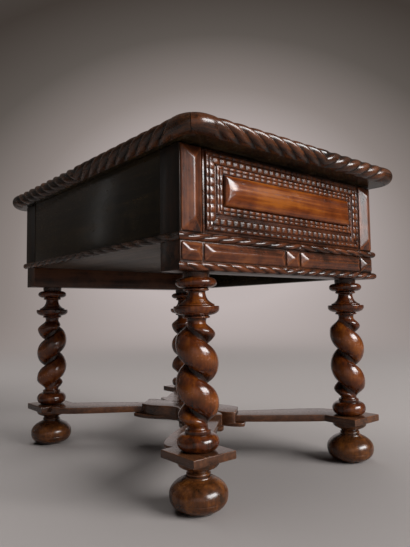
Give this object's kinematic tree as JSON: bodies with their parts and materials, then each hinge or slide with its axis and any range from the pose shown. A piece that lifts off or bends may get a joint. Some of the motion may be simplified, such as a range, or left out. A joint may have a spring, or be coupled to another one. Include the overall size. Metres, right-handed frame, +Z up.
{
  "type": "miniature desk",
  "caption": "Miniature table desk in dark rosewood: rope-carved top edge, ripple-moulded sliding drawer, barley-twist legs on bun feet and a flat crossed stretcher.",
  "frame": {"origin": "middle of the base, on the floor", "axes": "+Z up, the drawer opens towards -Y, +X to the right of someone facing the drawer"},
  "size_m": [0.2806, 0.3706, 0.299],
  "materials": {
    "dark_rosewood": "polished",
    "turned_rosewood": "polished",
    "carved_rosewood": "polished",
    "figured_rosewood": "polished",
    "inner_softwood": "matt"
  },
  "bodies": {
    "desk": {"back_board": "dark_rosewood", "case_bottom": "dark_rosewood", "case_rope_front": "carved_rosewood", "case_rope_left": "carved_rosewood", "case_rope_right": "carved_rosewood", "drawer_guide_left": "inner_softwood", "drawer_guide_right": "inner_softwood", "drawer_stop": "inner_softwood", "foot_front_left": "turned_rosewood", "foot_front_right": "turned_rosewood", "foot_rear_left": "turned_rosewood", "foot_rear_right": "turned_rosewood", "front_rail": "carved_rosewood", "leg_front_left": "turned_rosewood", "leg_front_right": "turned_rosewood", "leg_rear_left": "turned_rosewood", "leg_rear_right": "turned_rosewood", "post_front_left": "dark_rosewood", "post_front_right": "dark_rosewood", "post_rear_left": "dark_rosewood", "post_rear_right": "dark_rosewood", "rail_panel_centre": "carved_rosewood", "rail_panel_left": "carved_rosewood", "rail_panel_left_end": "carved_rosewood", "rail_panel_right": "carved_rosewood", "rail_panel_right_end": "carved_rosewood", "rail_rope_front": "carved_rosewood", "rear_rail": "carved_rosewood", "right_rail": "dark_rosewood", "side_board_left": "dark_rosewood", "side_board_right": "dark_rosewood", "stile_panel_left": "carved_rosewood", "stile_panel_right": "carved_rosewood", "stretcher_arm_front_left": "carved_rosewood", "stretcher_arm_front_right": "carved_rosewood", "stretcher_arm_rear_left": "carved_rosewood", "stretcher_arm_rear_right": "carved_rosewood", "stretcher_centre": "carved_rosewood", "top_board": "dark_rosewood", "top_edge_front": "carved_rosewood", "top_edge_left": "carved_rosewood", "top_edge_rear": "carved_rosewood", "top_edge_right": "carved_rosewood"},
    "drawer": {"drawer_back": "inner_softwood", "drawer_bead_bottom": "carved_rosewood", "drawer_bead_left": "carved_rosewood", "drawer_bead_right": "carved_rosewood", "drawer_bead_top": "carved_rosewood", "drawer_bottom": "inner_softwood", "drawer_frame_bottom": "carved_rosewood", "drawer_frame_left": "carved_rosewood", "drawer_frame_right": "carved_rosewood", "drawer_frame_top": "carved_rosewood", "drawer_front": "figured_rosewood", "drawer_pillow": "figured_rosewood", "drawer_side_left": "inner_softwood", "drawer_side_right": "inner_softwood"}
  },
  "joints": [
    {"name": "drawer_slide", "type": "slide", "parent": "desk", "child": "drawer", "axis": [0, -1, 0], "range_m": [0, 0.2]}
  ]
}
